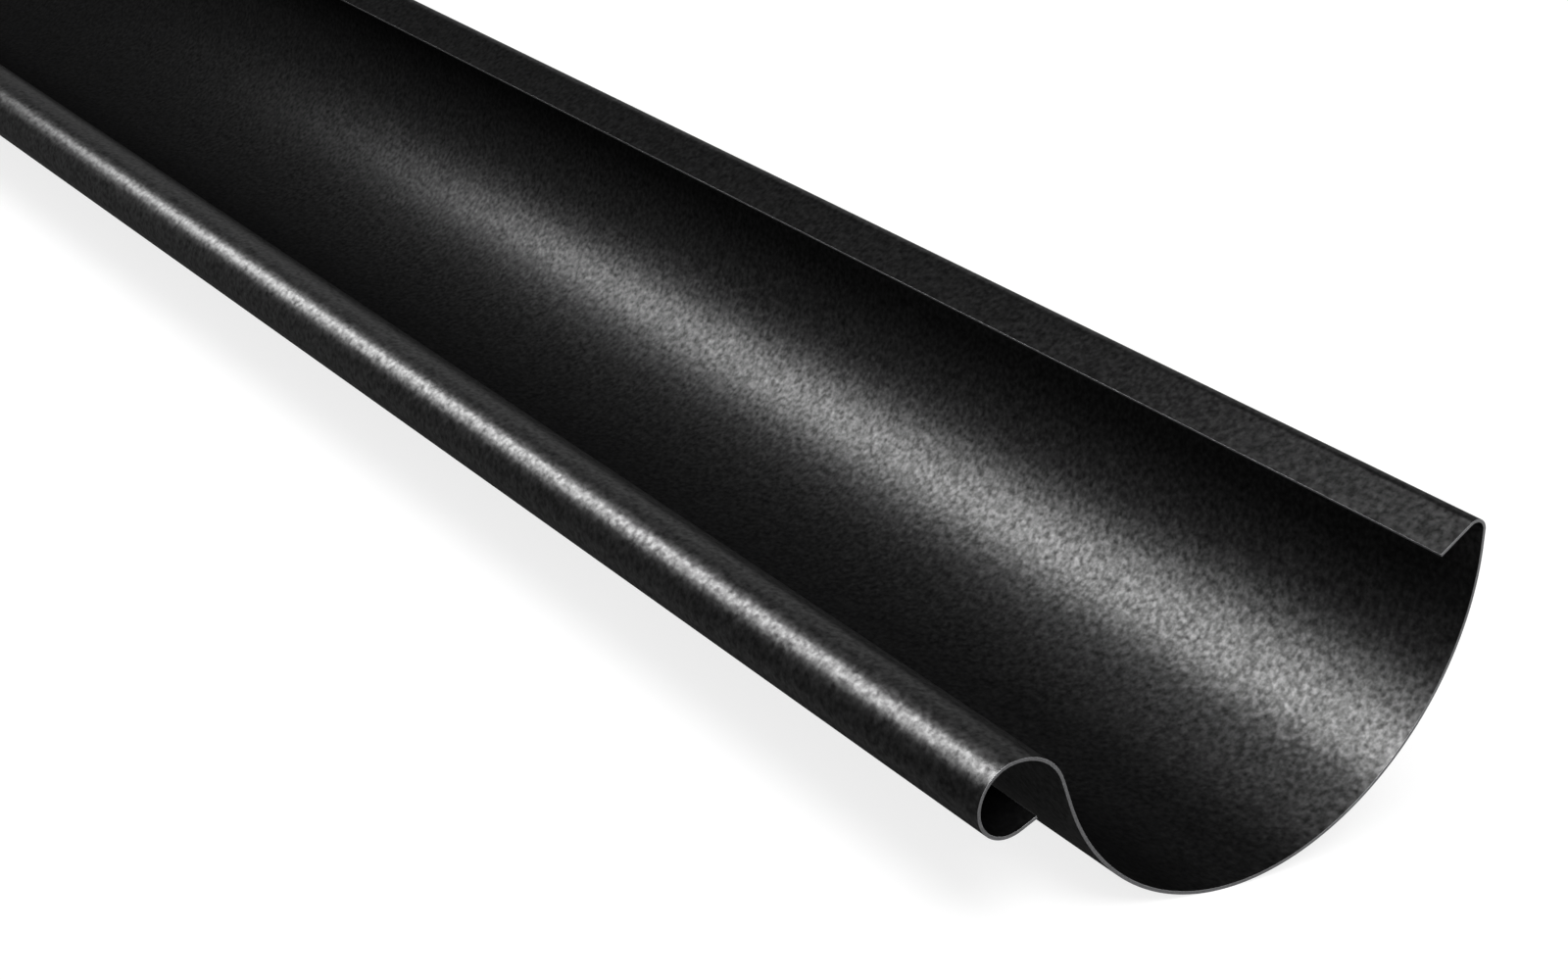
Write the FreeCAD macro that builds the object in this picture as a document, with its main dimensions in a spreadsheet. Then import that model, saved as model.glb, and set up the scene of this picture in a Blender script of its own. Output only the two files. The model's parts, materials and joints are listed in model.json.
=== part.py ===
import FreeCAD, Part
import math
import os

import Sketcher
from FreeCAD import Placement, Rotation, Vector

# Half-round eaves gutter: one stock length of coated steel sheet, roll formed to one section.
# The length runs along X. The wall side faces +Y, the front bead faces -Y and the trough
# opens to +Z. Lengths are millimetres and angles are degrees.
# Sizes are those of the weather face, the side of the sheet that the rain runs over: it is
# the inside of the trough and the outside of the bead. The sheet's thickness lies behind it.

NODE = "gutter_section"

DRIVING_SIZES = {
    "gutter_length": 3000.0,
    "sheet_thickness": 0.8,
    # Trough: a round bottom that is upright at the rear and still leans outward at the front
    "trough_radius": 62.5,
    "front_lean": 19.7,
    # Rear edge: a short upright wall and a narrow flange folded in and down over the trough
    "rear_wall_height": 4.4,
    "rear_bend_radius": 2.9,
    "flange_width": 10.3,
    "flange_fall": 28.8,
    # Front edge: a flat that swings over a shoulder into the rolled bead and its straight lip
    "front_flat_width": 6.9,
    "shoulder_radius": 15.0,
    "bead_diameter": 18.3,
    "lip_rise": 18.4,
    "lip_width": 4.4,
}

STRAIGHT = 0
ARC_CENTRE = 3


def add_sizes(doc):
    """The sheet of driving sizes, one named cell for each."""
    sheet = doc.addObject("Spreadsheet::Sheet", "Sizes")
    for row, (name, size) in enumerate(DRIVING_SIZES.items(), start=1):
        sheet.set(f"A{row}", name)
        sheet.set(f"B{row}", str(size))
        sheet.setAlias(f"B{row}", name)
    doc.recompute()
    return sheet


def along(heading, distance):
    """Step of a distance in the sketch's plane, its heading counted from the plane's X."""
    angle = math.radians(heading)
    return Vector(distance * math.cos(angle), distance * math.sin(angle), 0)


def add_straight(sketch, start, heading, width):
    """Straight stretch of sheet: its edge number, its two ends and where it stops."""
    stop = start + along(heading, width)
    edge = sketch.addGeometry(Part.LineSegment(start, stop))
    return (edge, 1, 2), stop


def add_bend(sketch, start, heading, radius, turn):
    """Bend that leaves along a heading and turns left (plus) or right (minus)."""
    to_centre = heading + math.copysign(90, turn)
    centre = start + along(to_centre, radius)
    first = to_centre + 180
    last = first + turn
    circle = Part.Circle(centre, Vector(0, 0, 1), radius)
    low, high = sorted((math.radians(first), math.radians(last)))
    edge = sketch.addGeometry(Part.ArcOfCircle(circle, low, high))
    ends = (1, 2) if turn > 0 else (2, 1)
    return (edge, *ends), centre + along(last, radius)


def add_run(sketch, start, heading, steps):
    """Stretches drawn end to end, each tangent to the last. Returns each one's numbers."""
    drawn = {}
    before = None
    for name, size, turn in steps:
        if turn == STRAIGHT:
            numbers, start = add_straight(sketch, start, heading, size)
        else:
            numbers, start = add_bend(sketch, start, heading, size, turn)
        heading += turn
        drawn[name] = numbers
        if before:
            join(sketch, before, numbers)
        before = numbers
    return drawn


def join(sketch, before, after):
    """The end of one stretch meets the start of the next without a corner."""
    sketch.addConstraint(Sketcher.Constraint("Tangent", before[0], before[2], after[0], after[1]))


def bind(sketch, kind, name, edge, value, formula):
    """A dimension of one edge, named in the sketch and tied to the sheet of sizes."""
    number = sketch.addConstraint(Sketcher.Constraint(kind, edge, value))
    sketch.renameConstraint(number, name)
    sketch.setExpression(f"Constraints.{name}", formula)


def draw_weather_face(sketch, sheet):
    """Open outline of the weather face, from the flange's edge to the lip of the bead."""
    springing = Vector(sheet.trough_radius, 0, 0)
    rear_steps = [
        ("rear_wall", sheet.rear_wall_height, STRAIGHT),
        ("rear_bend", sheet.rear_bend_radius, 90 + sheet.flange_fall),
        ("flange", sheet.flange_width, STRAIGHT),
    ]
    front_steps = [
        ("trough", sheet.trough_radius, sheet.front_lean - 180),
        ("front_flat", sheet.front_flat_width, STRAIGHT),
        ("shoulder", sheet.shoulder_radius, 90 - sheet.front_lean),
        ("bead", sheet.bead_diameter / 2, 180 + sheet.lip_rise),
        ("lip", sheet.lip_width, STRAIGHT),
    ]
    rear = add_run(sketch, springing, 90, rear_steps)
    front = add_run(sketch, springing, -90, front_steps)
    edge = {name: numbers[0] for name, numbers in {**rear, **front}.items()}

    trough_top = (front["trough"][0], front["trough"][2], front["trough"][1])
    join(sketch, trough_top, rear["rear_wall"])
    sketch.addConstraint(Sketcher.Constraint("Coincident", edge["trough"], ARC_CENTRE, -1, 1))
    sketch.addConstraint(Sketcher.Constraint("Vertical", edge["rear_wall"]))
    sketch.addConstraint(
        Sketcher.Constraint("Vertical", edge["shoulder"], ARC_CENTRE, edge["bead"], ARC_CENTRE)
    )

    for name, size in (
        ("trough", "trough_radius"),
        ("rear_bend", "rear_bend_radius"),
        ("shoulder", "shoulder_radius"),
    ):
        bind(sketch, "Radius", size, edge[name], getattr(sheet, size), f"Sizes.{size}")
    for name, size in (
        ("rear_wall", "rear_wall_height"),
        ("flange", "flange_width"),
        ("front_flat", "front_flat_width"),
        ("lip", "lip_width"),
    ):
        bind(sketch, "Distance", size, edge[name], getattr(sheet, size), f"Sizes.{size}")
    bind(sketch, "Diameter", "bead_diameter", edge["bead"],
         sheet.bead_diameter, "Sizes.bead_diameter")
    bind(sketch, "Angle", "flange_heading", edge["flange"],
         math.radians(sheet.flange_fall - 180), "Sizes.flange_fall - 180")
    bind(sketch, "Angle", "front_heading", edge["front_flat"],
         math.radians(sheet.front_lean + 90), "Sizes.front_lean + 90")
    bind(sketch, "Angle", "lip_heading", edge["lip"],
         math.radians(sheet.lip_rise), "Sizes.lip_rise")


def add_gutter(doc, sheet):
    """The rolled sheet: its weather face, thickened outward and run out along the length."""
    body = doc.addObject("PartDesign::Body", NODE)
    body.Label = NODE
    plane = next(item for item in body.Origin.OriginFeatures if item.Role == "YZ_Plane")
    sketch = body.newObject("Sketcher::SketchObject", "weather_face")
    sketch.AttachmentSupport = [(plane, "")]
    sketch.MapMode = "FlatFace"
    draw_weather_face(sketch, sheet)

    section = body.newObject("PartDesign::SubShapeBinder", "sheet_section")
    section.Support = [(sketch, ("",))]
    section.OffsetOpenResult = True
    section.OffsetFill = True
    section.setExpression("Offset", "Sizes.sheet_thickness")

    rolled = body.newObject("PartDesign::Pad", "rolled_length")
    rolled.Profile = section
    rolled.SideType = "Symmetric"
    rolled.setExpression("Length", "Sizes.gutter_length")
    doc.recompute()
    return body


def lay_on_floor(doc, body):
    """The round trough rolls on a floor until its weight hangs below the trough's centre."""
    weight = body.Shape.Solids[0].CenterOfMass
    roll = Rotation(Vector(1, 0, 0), math.degrees(math.atan2(-weight.y, -weight.z)))
    body.Placement = Placement(Vector(), roll)
    doc.recompute()
    box = body.Shape.BoundBox
    body.Placement = Placement(Vector(0, -box.Center.y, -box.ZMin), roll)
    doc.recompute()


def check_model(doc, body):
    """Nothing is written from a model with a failed or empty object."""
    for item in doc.Objects:
        if "Invalid" in item.State or "Error" in item.State:
            raise RuntimeError(f"{item.Name} failed: {item.State}")
    if body.Shape.isNull() or not body.Shape.isValid() or len(body.Shape.Solids) != 1:
        raise RuntimeError(f"{body.Label} is not one sound solid")


def write_node(body):
    """One file for the one piece of sheet."""
    os.makedirs("parts", exist_ok=True)
    body.Shape.exportStep(f"parts/{body.Label}.step")


def main():
    doc = FreeCAD.newDocument("half_round_gutter")
    sheet = add_sizes(doc)
    gutter = add_gutter(doc, sheet)
    lay_on_floor(doc, gutter)
    check_model(doc, gutter)
    write_node(gutter)
    box = gutter.Shape.BoundBox
    print(f"{NODE}: {box.XLength:.1f} x {box.YLength:.2f} x {box.ZLength:.2f} mm, "
          f"{gutter.Shape.Volume / 1000:.1f} cm3")


main()
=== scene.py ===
import json
import math

import bmesh
import bpy
from mathutils import Matrix, Vector


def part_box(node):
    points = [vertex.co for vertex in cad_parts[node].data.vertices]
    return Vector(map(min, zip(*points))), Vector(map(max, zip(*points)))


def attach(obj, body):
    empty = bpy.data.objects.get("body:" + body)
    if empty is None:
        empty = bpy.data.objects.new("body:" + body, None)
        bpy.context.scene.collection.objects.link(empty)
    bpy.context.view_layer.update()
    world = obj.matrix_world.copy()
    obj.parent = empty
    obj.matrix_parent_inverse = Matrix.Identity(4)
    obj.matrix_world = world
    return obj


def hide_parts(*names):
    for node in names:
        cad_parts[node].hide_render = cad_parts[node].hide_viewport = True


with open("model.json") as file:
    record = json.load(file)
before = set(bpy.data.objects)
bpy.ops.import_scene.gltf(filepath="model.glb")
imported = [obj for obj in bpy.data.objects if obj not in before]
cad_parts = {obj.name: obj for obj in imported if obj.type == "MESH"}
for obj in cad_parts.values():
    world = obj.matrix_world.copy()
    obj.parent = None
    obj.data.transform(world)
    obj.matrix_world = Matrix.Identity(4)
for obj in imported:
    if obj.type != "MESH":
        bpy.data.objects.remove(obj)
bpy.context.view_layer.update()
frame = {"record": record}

# A half-round gutter of black textured steel sheet, lying on a pale studio floor. Lengths are
# metres and angles are degrees. The section is worked out as the gutter hangs on a wall, Y to
# the rear and Z up, with the middle of its round trough at the origin. HUNG then lays it where
# the frame has it.

NODE = "gutter_section"
MM = 0.001

# Sizes of the weather face: the inside of the trough and the outside of the bead
SHEET = 0.8 * MM
TROUGH_RADIUS = 62.5 * MM
FRONT_LEAN = 19.7
REAR_WALL = 4.4 * MM
REAR_BEND = 2.9 * MM
FLANGE = 10.3 * MM
FLANGE_FALL = 28.8
FRONT_FLAT = 6.9 * MM
SHOULDER = 15.0 * MM
BEAD_RADIUS = 9.15 * MM
LIP_RISE = 18.4
LIP = 4.4 * MM

# How finely the sheet is drawn
TURN_STEP = 1.5
TIGHT_TURN_STEP = 6.0
FLAT_STEP = 1.0 * MM
LENGTH_STEP = 50 * MM
CUT_ROUND = 0.06 * MM
CUT_ROUND_STEPS = 3

# The mesh's material slots
COAT_SLOT = 0
STEEL_SLOT = 1

# Most of a noise lies between these two
NOISE_LOW = 0.3
NOISE_HIGH = 0.7

# Textured coat: speckles in its gloss, grain and wide clouds in its roughness, fine wrinkles in
# its relief and colour, and the share of matt that it gives way to when seen edge on
SPECKLE_SIZE = 1.5 * MM
SPECKLE_MIDDLE = 0.365
SPECKLE_SWING = 0.125
GRAIN_SIZE = 1.3 * MM
GRAIN_MIDDLE = 0.315
GRAIN_SWING = 0.023
CLOUD_SIZE = 24 * MM
CLOUD_STRETCH = (3, 1, 1)
CLOUD_SWING = 0.008
WRINKLE_SIZE = 1.3 * MM
WRINKLE_DEPTH = 0.010 * MM
COAT_DARK = (0.0018, 0.0018, 0.0019)
COAT_LIGHT = (0.0026, 0.0026, 0.0027)
COAT_MATT = (0.0022, 0.0022, 0.0023)
MATT_SHARE = 0.55
MATT_FROM = 0.52
MATT_FULL = 0.74

# Cut steel: short streaks that the shears left across the sheet
STEEL_METALLIC = 0.3
SHEAR_SIZE = 0.25 * MM
SHEAR_STRETCH = (1, 1, 4)
SHEAR_DEPTH = 0.02 * MM
STEEL_ROUGHNESS = 0.46
STEEL_SWING = 0.08
STEEL_DARK = (0.088, 0.088, 0.091)
STEEL_LIGHT = (0.132, 0.132, 0.136)

# The photograph's camera, seen from the hung gutter's near end
PHOTO_WIDTH = 1600
FOCAL_PIXELS = 2828
SENSOR_WIDTH = 36.0
CLIP_START = 0.01
CLIP_END = 200.0
CAMERA_TURN = 53.77
CAMERA_ALTITUDE = 27.13
CAMERA_FROM_END = Vector((351.0, -389.6, 296.7)) * MM

# Floor: matt grey, lifted to white for the eye. Gloss shows it dim, and from a line behind the
# gutter on it fades to white there too.
FLOOR_REACH = 150.0
FLOOR_COLOUR = (0.25, 0.25, 0.25)
FLOOR_LIFT = 0.80
FLOOR_GLOW = 0.05
FLOOR_GLOW_BEHIND = 0.75
BEHIND_FROM = 0.12
BEHIND_FULL = 0.40

# Dim light from all around and two soft suns from the camera's side
WORLD_LIGHT = 0.10
KEY_LIGHT = 2.4
KEY_SPREAD = 30.0
KEY_FROM = Vector((0.42, -0.36, 0.83))
FILL_LIGHT = 2.0
FILL_SPREAD = 60.0
FILL_FROM = Vector((0.62, -0.68, 0.39))

# A third sun, for gloss alone, shapes the outer wall for whoever looks from behind
REAR_LIGHT = 4.0
REAR_SPREAD = 60.0
REAR_FROM = Vector((0.365, 0.907, 0.209))

# The long softbox, seen from the hung gutter's near end: it rises towards the camera
STRIP_FROM_END = Vector((-0.155, -0.278, 0.4235))
STRIP_LENGTH = 1.41
STRIP_WIDTH = 0.30
STRIP_RISE = 16.2
STRIP_TURN = -10.9
STRIP_SPREAD = 121.7
STRIP_LIGHT = 39.5

# Two small softboxes that face the near end: one over it, which the flange mirrors, and one
# to its front, which widens the gleam there
LID_FROM_END = Vector((-0.26, 0.06, 0.46))
LID_WIDTH = 0.20
LID_LIGHT = 0.5
SIDE_FROM_END = Vector((-0.43, -0.44, 0.34))
SIDE_WIDTH = 0.16
SIDE_LIGHT = 0.9

# White fields that the gutter's gloss mirrors: a backdrop behind it, seen from the camera,
# and a wide dimmer wall on the camera's side, for whoever looks from the far end
BACKDROP_TOWARDS = Vector((-0.78, 0.58, 0.24))
BACKDROP_EDGE = 32.0
BACKDROP_CORE = 12.0
BACKDROP_GLOW = 0.75
WALL_TOWARDS = Vector((0.92, -0.28, 0.28))
WALL_EDGE = 85.0
WALL_CORE = 50.0
WALL_GLOW = 0.6

SEEN = ("Is Camera Ray",)
MIRRORED = ("Is Glossy Ray", "Is Transmission Ray")

near_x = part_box(NODE)[1].x


def hung_frame():
    """From the hung gutter to the frame's lying one, by the mount where a bracket seats."""
    seat = next(m for m in frame["record"]["mounts"] if m["name"] == "bracket_seat")
    down = Vector(seat["axis"]).normalized()
    middle = Vector(seat["pos_m"]) - down * (TROUGH_RADIUS + SHEET)
    roll = math.atan2(down.y, -down.z)
    return Matrix.Translation(middle) @ Matrix.Rotation(roll, 4, "X")


HUNG = hung_frame()


def from_near_end(offset, look):
    """Placement at an offset from the hung gutter's near end, turned as a matrix says."""
    place = Vector((near_x, 0, 0)) + offset
    return HUNG @ Matrix.Translation(place) @ look


def add_object(name, data):
    """An object of the scene that shows a mesh, lamp or camera."""
    item = bpy.data.objects.new(name, data)
    bpy.context.scene.collection.objects.link(item)
    return item


def heading_vector(heading):
    """Unit step in the section's plane, its heading counted from the rear, Y."""
    angle = math.radians(heading)
    return Vector((math.cos(angle), math.sin(angle)))


def walk(start, heading, steps):
    """Points along straights and tangent bends, each with its heading.

    A step is a straight's width and 0, or a bend's radius and its turn to the left."""
    points = [(start.copy(), heading)]
    here = start.copy()
    for size, turn in steps:
        if turn == 0:
            count = max(1, round(size / FLAT_STEP))
            for i in range(1, count + 1):
                points.append((here + heading_vector(heading) * size * i / count, heading))
        else:
            side = math.copysign(90, turn)
            centre = here + heading_vector(heading + side) * size
            step = TURN_STEP if size > SHOULDER else TIGHT_TURN_STEP
            count = math.ceil(abs(turn) / step)
            for i in range(1, count + 1):
                now = heading + turn * i / count
                points.append((centre - heading_vector(now + side) * size, now))
            heading += turn
        here = points[-1][0].copy()
    return points


def weather_face():
    """The weather face from the flange's edge to the lip. Each point has its normal outward."""
    springing = Vector((TROUGH_RADIUS, 0))
    rear = walk(springing, 90, [
        (REAR_WALL, 0),
        (REAR_BEND, 90 + FLANGE_FALL),
        (FLANGE, 0),
    ])
    front = walk(springing, -90, [
        (TROUGH_RADIUS, FRONT_LEAN - 180),
        (FRONT_FLAT, 0),
        (SHOULDER, 90 - FRONT_LEAN),
        (BEAD_RADIUS, 180 + LIP_RISE),
        (LIP, 0),
    ])
    outward = [(p, heading_vector(heading - 90)) for p, heading in reversed(rear)]
    outward += [(p, heading_vector(heading + 90)) for p, heading in front[1:]]
    return outward


def corner(edge, inward, depth, start, radius):
    """Quarter round at one corner of a slit edge, as entries of the section's loop."""
    p, n = edge
    middle = p + inward * CUT_ROUND + n * depth
    entries = []
    for i in range(CUT_ROUND_STEPS + 1):
        angle = math.radians(start + 90 * i / CUT_ROUND_STEPS)
        normal = -inward * math.cos(angle) + n * math.sin(angle)
        entries.append((middle + normal * radius, normal, True))
    return entries


def slit_edge(edge, neighbour, radius):
    """Rounded edge of the sheet, from the weather face to the back."""
    inward = (neighbour[0] - edge[0]).normalized()
    weather_corner = corner(edge, inward, CUT_ROUND, -90, radius)
    back_corner = corner(edge, inward, SHEET - CUT_ROUND, 0, radius)
    return weather_corner + back_corner


def rounded_loop(face, inset):
    """Section of the sheet as a closed loop with rounded edges, drawn in by an inset.

    Each entry is a point, its outward normal and True where it lies on a slit edge."""
    radius = CUT_ROUND - inset
    weather = [(p + n * inset, -n, False) for p, n in face[1:-1]]
    lip = slit_edge(face[-1], face[-2], radius)
    back = [(p + n * (SHEET - inset), n, False) for p, n in reversed(face[1:-1])]
    flange = slit_edge(face[0], face[1], radius)
    return weather + lip + back + flange[::-1]


def stations():
    """Places along the length, with the rounded cuts at both ends.

    Each is an x, the section's inset there and the tilt of its normals in radians."""
    inner = near_x - CUT_ROUND
    count = round(2 * inner / LENGTH_STEP)
    places = [(-inner + 2 * inner * i / count, 0.0, 0.0) for i in range(count + 1)]
    for i in range(1, CUT_ROUND_STEPS + 1):
        tilt = math.pi / 2 * i / CUT_ROUND_STEPS
        reach = inner + CUT_ROUND * math.sin(tilt)
        inset = CUT_ROUND * (1 - math.cos(tilt))
        places.append((reach, inset, tilt))
        places.insert(0, (-reach, inset, tilt))
    return places


def join_rings(bm, rings, on_slit):
    """Faces from ring to ring, bare steel where they lie on a slit edge or round a cut."""
    size = len(on_slit)
    last_cut = len(rings) - 1 - CUT_ROUND_STEPS
    for i, (ring, after) in enumerate(zip(rings, rings[1:])):
        at_cut = i < CUT_ROUND_STEPS or i >= last_cut
        for j in range(size):
            k = (j + 1) % size
            quad = bm.faces.new((ring[j], ring[k], after[k], after[j]))
            bare = at_cut or (on_slit[j] and on_slit[k])
            quad.material_index = STEEL_SLOT if bare else COAT_SLOT


def close_end(bm, ring, inside, far):
    """Cut face of one end: quads across the sheet and a wider face at each slit edge.

    Inside is how many points of the ring lie on the weather face."""
    back = inside + 2 * (CUT_ROUND_STEPS + 1)
    faces = []
    for j in range(inside - 1):
        other = back + inside - 1 - j
        faces.append([ring[j], ring[j + 1], ring[other - 1], ring[other]])
    faces.append(ring[inside - 1:back + 1])
    faces.append(ring[back + inside - 1:] + [ring[0]])
    for points in faces:
        if far:
            points.reverse()
        bm.faces.new(points).material_index = STEEL_SLOT


def sheet_mesh():
    """The rolled sheet as one closed mesh with exact normals."""
    face = weather_face()
    loops = {inset: rounded_loop(face, inset) for _, inset, _ in stations()}
    bm = bmesh.new()
    rings = []
    normals = []
    for x, inset, tilt in stations():
        ring = []
        for p, n, _ in loops[inset]:
            ring.append(bm.verts.new(HUNG @ Vector((x, p.x, p.y))))
            across = Vector((0, n.x, n.y)) * math.cos(tilt)
            along = Vector((math.copysign(math.sin(tilt), x), 0, 0))
            normals.append((HUNG.to_3x3() @ (across + along)).normalized())
        rings.append(ring)
    join_rings(bm, rings, [slit for _, _, slit in loops[0.0]])
    inside = len(face) - 2
    close_end(bm, rings[0], inside, far=True)
    close_end(bm, rings[-1], inside, far=False)

    mesh = bpy.data.meshes.new("gutter_sheet")
    bm.to_mesh(mesh)
    bm.free()
    mesh.polygons.foreach_set("use_smooth", [True] * len(mesh.polygons))
    mesh.normals_split_custom_set_from_vertices(normals)
    return mesh


def arithmetic(tree, operation, *values):
    """Numbers and sockets joined by one operation."""
    node = tree.nodes.new("ShaderNodeMath")
    node.operation = operation
    for value, socket in zip(values, node.inputs):
        if isinstance(value, bpy.types.NodeSocket):
            tree.links.new(value, socket)
        else:
            socket.default_value = value
    return node.outputs[0]


def remap(tree, value, start, stop, low, high):
    """A value's span from start to stop, turned into low to high and held there."""
    node = tree.nodes.new("ShaderNodeMapRange")
    node.inputs["From Min"].default_value = start
    node.inputs["From Max"].default_value = stop
    node.inputs["To Min"].default_value = low
    node.inputs["To Max"].default_value = high
    tree.links.new(value, node.inputs["Value"])
    return node.outputs["Result"]


class Shader:
    """A node material under construction: a Principled shader and what feeds it."""

    def __init__(self, name):
        self.material = bpy.data.materials.new(name)
        self.material.use_nodes = True
        self.tree = self.material.node_tree
        self.surface = self.tree.nodes["Principled BSDF"]
        self.place = self.add("ShaderNodeTexCoord").outputs["Object"]

    def add(self, kind):
        return self.tree.nodes.new(kind)

    def feed(self, source, socket):
        self.tree.links.new(source, socket)

    def noise(self, size, detail=2.0, stretch=(1, 1, 1)):
        """Noise from 0 to 1 whose blots are about a size across, drawn out along each axis."""
        scaled = self.add("ShaderNodeMapping")
        scaled.inputs["Scale"].default_value = [1 / (size * each) for each in stretch]
        self.feed(self.place, scaled.inputs["Vector"])
        noise = self.add("ShaderNodeTexNoise")
        noise.inputs["Scale"].default_value = 1.0
        noise.inputs["Detail"].default_value = detail
        self.feed(scaled.outputs[0], noise.inputs["Vector"])
        return noise.outputs["Fac"]

    def around(self, noise, middle, swing):
        """Noise about a middle value, most of it within a swing to each side."""
        spread = remap(self.tree, noise, NOISE_LOW, NOISE_HIGH, middle - swing, middle + swing)
        spread.node.clamp = False
        return spread

    def tint(self, noise, dark, light):
        """The base colour, from dark to light."""
        mix = self.add("ShaderNodeMix")
        mix.data_type = "RGBA"
        mix.inputs["A"].default_value = (*dark, 1)
        mix.inputs["B"].default_value = (*light, 1)
        share = remap(self.tree, noise, NOISE_LOW, NOISE_HIGH, 0, 1)
        self.feed(share, mix.inputs["Factor"])
        self.feed(mix.outputs["Result"], self.surface.inputs["Base Color"])

    def emboss(self, noise, depth):
        """Relief that most of the noise spreads over a depth in metres."""
        bump = self.add("ShaderNodeBump")
        bump.inputs["Distance"].default_value = depth
        self.feed(self.around(noise, 0.5, 0.5), bump.inputs["Height"])
        self.feed(bump.outputs["Normal"], self.surface.inputs["Normal"])

    def dull_edge_on(self, colour, share, start, full):
        """Gives way to a share of a matt colour where the surface is seen nearly edge on."""
        weight = self.add("ShaderNodeLayerWeight")
        weight.inputs["Blend"].default_value = 0.5
        matt = self.add("ShaderNodeBsdfDiffuse")
        matt.inputs["Color"].default_value = (*colour, 1)
        mix = self.add("ShaderNodeMixShader")
        amount = remap(self.tree, weight.outputs["Facing"], start, full, 0, share)
        self.feed(amount, mix.inputs[0])
        self.feed(self.surface.outputs[0], mix.inputs[1])
        self.feed(matt.outputs[0], mix.inputs[2])
        self.feed(mix.outputs[0], self.tree.nodes["Material Output"].inputs["Surface"])


def textured_coat():
    """Black coat whose fine texture breaks its gloss into speckles and shades it edge on.

    The speckles are squared, so that a few bright ones stand out of many dim ones."""
    coat = Shader("textured_coat")
    speckle = coat.around(coat.noise(SPECKLE_SIZE), SPECKLE_MIDDLE, SPECKLE_SWING)
    level = arithmetic(coat.tree, "MULTIPLY", speckle, speckle)
    coat.feed(level, coat.surface.inputs["Specular IOR Level"])

    grain = coat.around(coat.noise(GRAIN_SIZE), GRAIN_MIDDLE, GRAIN_SWING)
    cloud = coat.around(coat.noise(CLOUD_SIZE, stretch=CLOUD_STRETCH), 0, CLOUD_SWING)
    roughness = arithmetic(coat.tree, "ADD", grain, cloud)
    coat.feed(roughness, coat.surface.inputs["Roughness"])

    wrinkle = coat.noise(WRINKLE_SIZE, detail=1.0)
    coat.emboss(wrinkle, WRINKLE_DEPTH)
    coat.tint(wrinkle, COAT_DARK, COAT_LIGHT)
    coat.dull_edge_on(COAT_MATT, MATT_SHARE, MATT_FROM, MATT_FULL)
    return coat.material


def cut_steel():
    """Bare grey steel where the coated sheet was sheared."""
    steel = Shader("cut_steel")
    steel.surface.inputs["Metallic"].default_value = STEEL_METALLIC
    shear = steel.noise(SHEAR_SIZE, stretch=SHEAR_STRETCH)
    roughness = steel.around(shear, STEEL_ROUGHNESS, STEEL_SWING)
    steel.feed(roughness, steel.surface.inputs["Roughness"])
    steel.tint(shear, STEEL_DARK, STEEL_LIGHT)
    steel.emboss(shear, SHEAR_DEPTH)
    return steel.material


def add_gutter():
    """The sheet's fine mesh, in the place of the frame's node."""
    gutter = add_object("gutter_sheet", sheet_mesh())
    gutter.data.materials.append(textured_coat())
    gutter.data.materials.append(cut_steel())
    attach(gutter, "root")
    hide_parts(NODE)


def rays(tree, kinds):
    """1 for rays of these kinds and 0 for all others."""
    path = tree.nodes.new("ShaderNodeLightPath")
    share = path.outputs[kinds[0]]
    for kind in kinds[1:]:
        share = arithmetic(tree, "MAXIMUM", share, path.outputs[kind])
    return share


def floor_material():
    """Pale floor whose glow only the eye and gloss see, so that it keeps its shadow."""
    material = bpy.data.materials.new("pale_floor")
    material.use_nodes = True
    tree = material.node_tree
    tree.nodes.remove(tree.nodes["Principled BSDF"])
    matt = tree.nodes.new("ShaderNodeBsdfDiffuse")
    matt.inputs["Color"].default_value = (*FLOOR_COLOUR, 1)

    place = tree.nodes.new("ShaderNodeTexCoord")
    axes = tree.nodes.new("ShaderNodeSeparateXYZ")
    tree.links.new(place.outputs["Object"], axes.inputs[0])
    y = axes.outputs["Y"]
    glow = remap(tree, y, BEHIND_FROM, BEHIND_FULL, FLOOR_GLOW, FLOOR_GLOW_BEHIND)
    mirrored = arithmetic(tree, "MULTIPLY", glow, rays(tree, MIRRORED))
    seen = arithmetic(tree, "MULTIPLY", FLOOR_LIFT, rays(tree, SEEN))
    lift = tree.nodes.new("ShaderNodeEmission")
    tree.links.new(arithmetic(tree, "ADD", seen, mirrored), lift.inputs["Strength"])

    both = tree.nodes.new("ShaderNodeAddShader")
    tree.links.new(matt.outputs[0], both.inputs[0])
    tree.links.new(lift.outputs[0], both.inputs[1])
    tree.links.new(both.outputs[0], tree.nodes["Material Output"].inputs["Surface"])
    return material


def add_floor():
    """Plain floor that reaches far past the view."""
    mesh = bpy.data.meshes.new("floor")
    reach = FLOOR_REACH
    corners = [(-reach, -reach, 0), (reach, -reach, 0), (reach, reach, 0), (-reach, reach, 0)]
    mesh.from_pydata(corners, [], [(0, 1, 2, 3)])
    mesh.materials.append(floor_material())
    add_object("floor", mesh)


def field(tree, towards, edge, core, strength):
    """Strength of a white field around a direction, full in its core and faded at its edge."""
    place = tree.nodes.new("ShaderNodeTexCoord")
    cosine = tree.nodes.new("ShaderNodeVectorMath")
    cosine.operation = "DOT_PRODUCT"
    cosine.inputs[1].default_value = towards.normalized()
    tree.links.new(place.outputs["Generated"], cosine.inputs[0])
    at_edge = math.cos(math.radians(edge))
    at_core = math.cos(math.radians(core))
    return remap(tree, cosine.outputs["Value"], at_edge, at_core, WORLD_LIGHT, strength)


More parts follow.
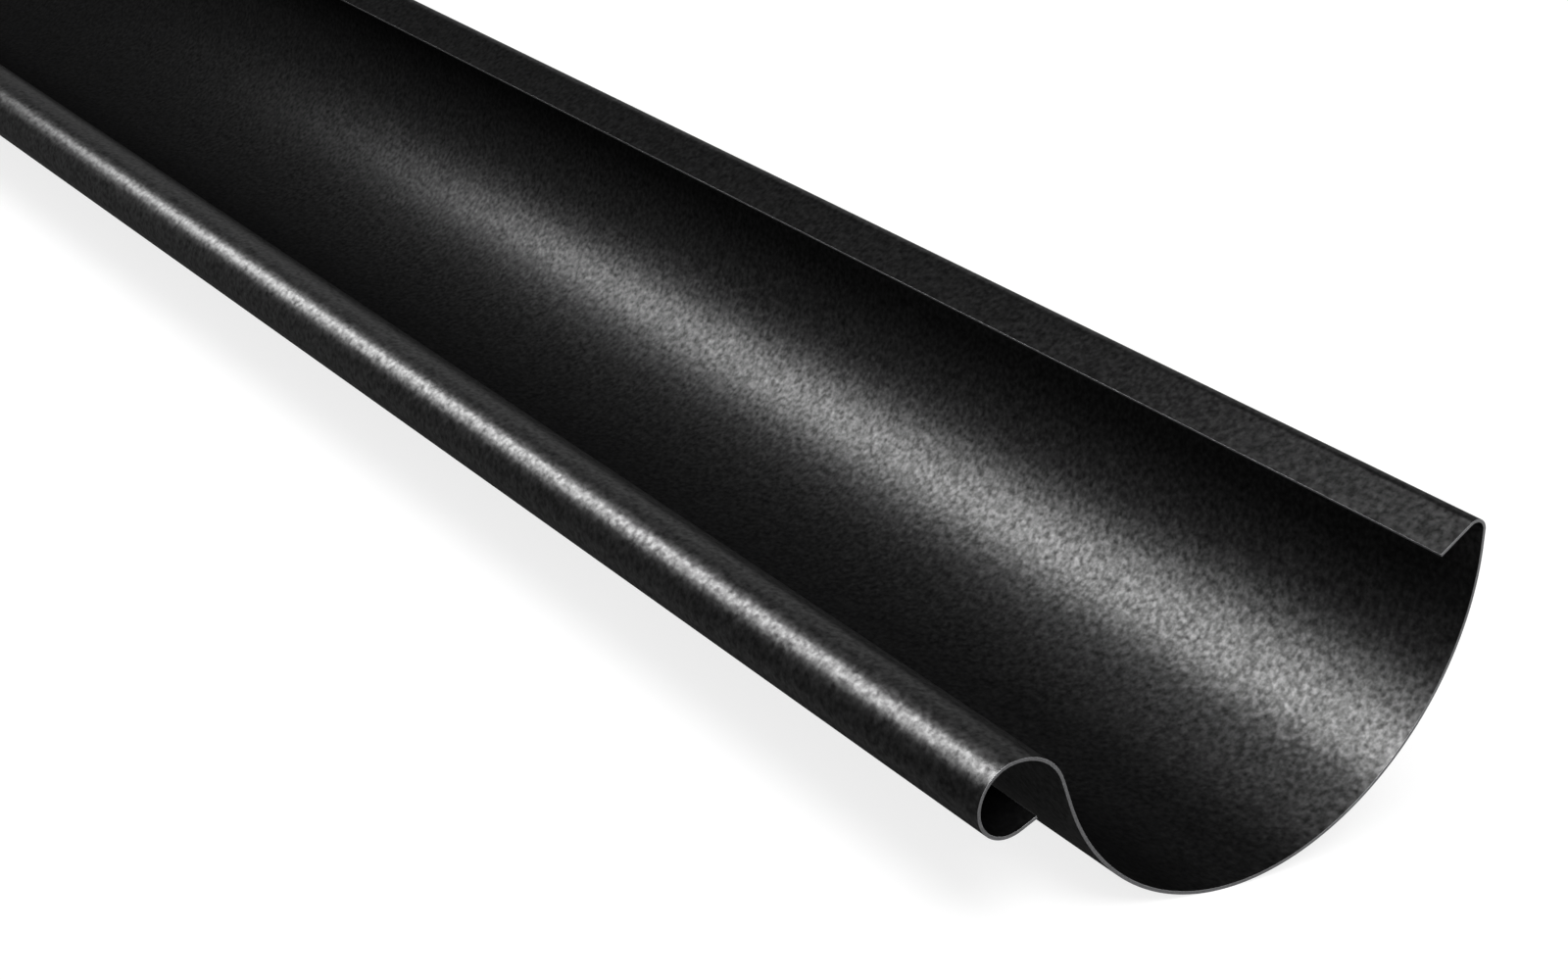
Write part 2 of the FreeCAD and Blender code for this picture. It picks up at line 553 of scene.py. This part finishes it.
def add_world():
    """Dim even light from all around. The eye sees white there, gloss the backdrop and wall."""
    world = bpy.data.worlds.new("studio")
    world.use_nodes = True
    tree = world.node_tree
    backdrop = field(tree, BACKDROP_TOWARDS, BACKDROP_EDGE, BACKDROP_CORE, BACKDROP_GLOW)
    wall = field(tree, WALL_TOWARDS, WALL_EDGE, WALL_CORE, WALL_GLOW)
    fields = arithmetic(tree, "MAXIMUM", backdrop, wall)
    mirrored = arithmetic(tree, "MULTIPLY", fields, rays(tree, MIRRORED))
    unseen = arithmetic(tree, "MAXIMUM", mirrored, WORLD_LIGHT)
    strength = arithmetic(tree, "MAXIMUM", unseen, rays(tree, SEEN))
    back = tree.nodes["Background"]
    back.inputs["Color"].default_value = (1, 1, 1, 1)
    tree.links.new(strength, back.inputs["Strength"])
    bpy.context.scene.world = world


def add_sun(name, light, spread, towards, gloss_only=False):
    """Even light from one side, soft by the angle that its source takes up."""
    sun = bpy.data.lights.new(name, "SUN")
    sun.energy = light
    sun.angle = math.radians(spread)
    holder = add_object(name, sun)
    holder.rotation_euler = towards.to_track_quat("Z", "Y").to_euler()
    holder.visible_diffuse = not gloss_only


def add_softbox(name, size, light, look, from_end):
    """Rectangular lamp for gloss alone, placed from the hung gutter's near end."""
    lamp = bpy.data.lights.new(name, "AREA")
    lamp.shape = "RECTANGLE"
    lamp.size, lamp.size_y = size
    lamp.energy = light
    holder = add_object(name, lamp)
    holder.matrix_world = from_near_end(from_end, look)
    holder.visible_camera = False
    holder.visible_diffuse = False
    return lamp


def add_strip():
    """Long softbox over the front edge: its gleam runs down the trough and along the bead."""
    rise = math.radians(STRIP_RISE)
    turn = math.radians(STRIP_TURN)
    along = Vector((math.cos(rise), 0, math.sin(rise)))
    down = Vector((math.sin(rise), 0, -math.cos(rise)))
    shine = down * math.cos(turn) + Vector((0, math.sin(turn), 0))
    look = Matrix((along, -shine.cross(along), -shine)).transposed().to_4x4()
    size = (STRIP_LENGTH, STRIP_WIDTH)
    strip = add_softbox("strip", size, STRIP_LIGHT, look, STRIP_FROM_END)
    strip.spread = math.radians(STRIP_SPREAD)


def add_small_softbox(name, width, light, from_end):
    """Square softbox that faces the near end."""
    look = from_end.to_track_quat("Z", "Y").to_matrix().to_4x4()
    add_softbox(name, (width, width), light, look, from_end)


def add_camera():
    """The photograph's camera, carried along as the hung gutter is laid down."""
    camera = bpy.data.cameras.new("camera")
    camera.sensor_fit = "HORIZONTAL"
    camera.sensor_width = SENSOR_WIDTH
    camera.lens = FOCAL_PIXELS / PHOTO_WIDTH * SENSOR_WIDTH
    camera.clip_start = CLIP_START
    camera.clip_end = CLIP_END
    turn = math.radians(CAMERA_TURN)
    altitude = math.radians(CAMERA_ALTITUDE)
    back = Vector((
        math.sin(turn) * math.cos(altitude),
        -math.cos(turn) * math.cos(altitude),
        math.sin(altitude),
    ))
    right = Vector((math.cos(turn), math.sin(turn), 0))
    up = back.cross(right)
    look = Matrix((right, up, back)).transposed().to_4x4()
    holder = add_object("camera", camera)
    holder.matrix_world = from_near_end(CAMERA_FROM_END, look)
    bpy.context.scene.camera = holder


add_gutter()
add_floor()
add_world()
add_sun("key", KEY_LIGHT, KEY_SPREAD, KEY_FROM)
add_sun("fill", FILL_LIGHT, FILL_SPREAD, FILL_FROM)
add_sun("rear", REAR_LIGHT, REAR_SPREAD, REAR_FROM, gloss_only=True)
add_strip()
add_small_softbox("lid", LID_WIDTH, LID_LIGHT, LID_FROM_END)
add_small_softbox("side", SIDE_WIDTH, SIDE_LIGHT, SIDE_FROM_END)
add_camera()
bpy.context.scene.view_settings.view_transform = "Standard"
